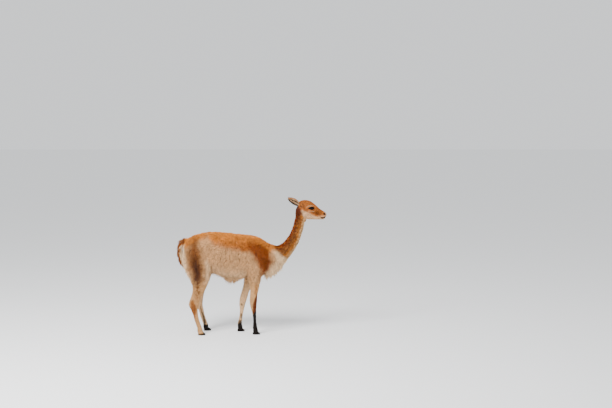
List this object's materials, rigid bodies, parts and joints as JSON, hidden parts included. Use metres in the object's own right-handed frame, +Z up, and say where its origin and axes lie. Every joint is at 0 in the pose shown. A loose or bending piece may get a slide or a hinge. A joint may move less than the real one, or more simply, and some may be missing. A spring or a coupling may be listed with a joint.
{
  "type": "vicuna figure",
  "caption": "Life-size still model of a standing vicuna, head raised and looking straight ahead, ears laid back, feet flat on the floor.",
  "frame": {"origin": "on the floor, under the middle of the model's box", "axes": "+X towards the nose, +Y towards the animal's left, +Z up"},
  "size_m": [1.3398, 0.3554, 1.2154],
  "materials": {
    "fleece": "dense fine fleece, tan above and cream below",
    "neck_wool": "short woolly coat, orange brown",
    "short_fur": "short smooth fur, orange brown and cream",
    "leg_fur": "short smooth fur, cream and tan",
    "dark_leg": "wet dark fur",
    "nail": "dark horn",
    "eye": "wet and glossy"
  },
  "bodies": {
    "root": {"torso_haunches": "fleece", "torso_barrel": "fleece", "torso_chest": "fleece", "neck_lower": "neck_wool", "neck_upper": "neck_wool", "head": "short_fur", "eye_left": "eye", "eye_right": "eye", "ear_left": "short_fur", "ear_right": "short_fur", "tail": "neck_wool", "forearm_front_left": "leg_fur", "forearm_front_right": "leg_fur", "cannon_front_left": "leg_fur", "cannon_front_right": "dark_leg", "gaskin_hind_left": "leg_fur", "gaskin_hind_right": "leg_fur", "cannon_hind_left": "leg_fur", "cannon_hind_right": "leg_fur", "foot_front_left": "dark_leg", "foot_front_right": "dark_leg", "foot_hind_left": "dark_leg", "foot_hind_right": "dark_leg", "nail_front_left_inner": "nail", "nail_front_left_outer": "nail", "nail_front_right_inner": "nail", "nail_front_right_outer": "nail", "nail_hind_left_inner": "nail", "nail_hind_left_outer": "nail", "nail_hind_right_inner": "nail", "nail_hind_right_outer": "nail"}
  },
  "joints": []
}
